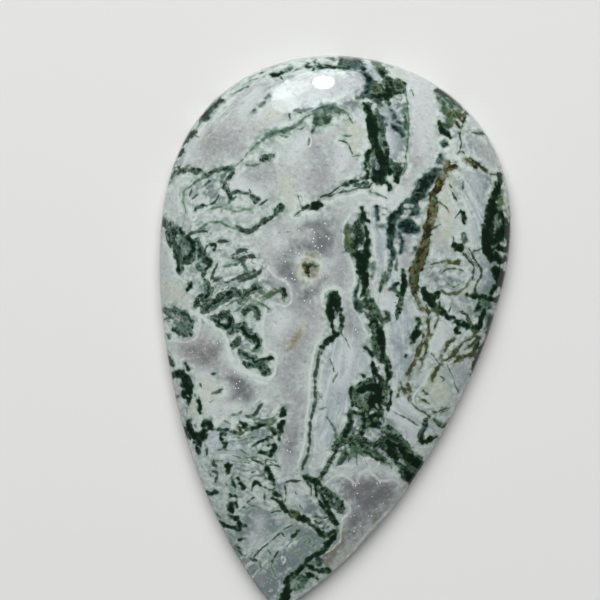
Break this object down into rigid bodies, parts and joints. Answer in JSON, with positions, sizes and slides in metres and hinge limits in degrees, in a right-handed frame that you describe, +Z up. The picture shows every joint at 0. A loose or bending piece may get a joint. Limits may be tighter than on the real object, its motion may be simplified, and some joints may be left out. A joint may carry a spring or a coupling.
{
  "type": "tree agate cabochon",
  "caption": "Pear-shaped tree agate cabochon with a low polished dome, a thin girdle and a flat back that lies on a surface or seats in a bezel.",
  "frame": {"origin": "middle of the length and width, on the flat back that it rests on", "axes": "+Y along the stone to its round end, +Z up through the dome, +X across it"},
  "size_m": [0.0336, 0.0534, 0.0064],
  "materials": {
    "tree_agate": "high polish, pale green-grey chalcedony with dark green moss and olive veins"
  },
  "bodies": {
    "root": {"cabochon": "tree_agate"}
  },
  "joints": []
}
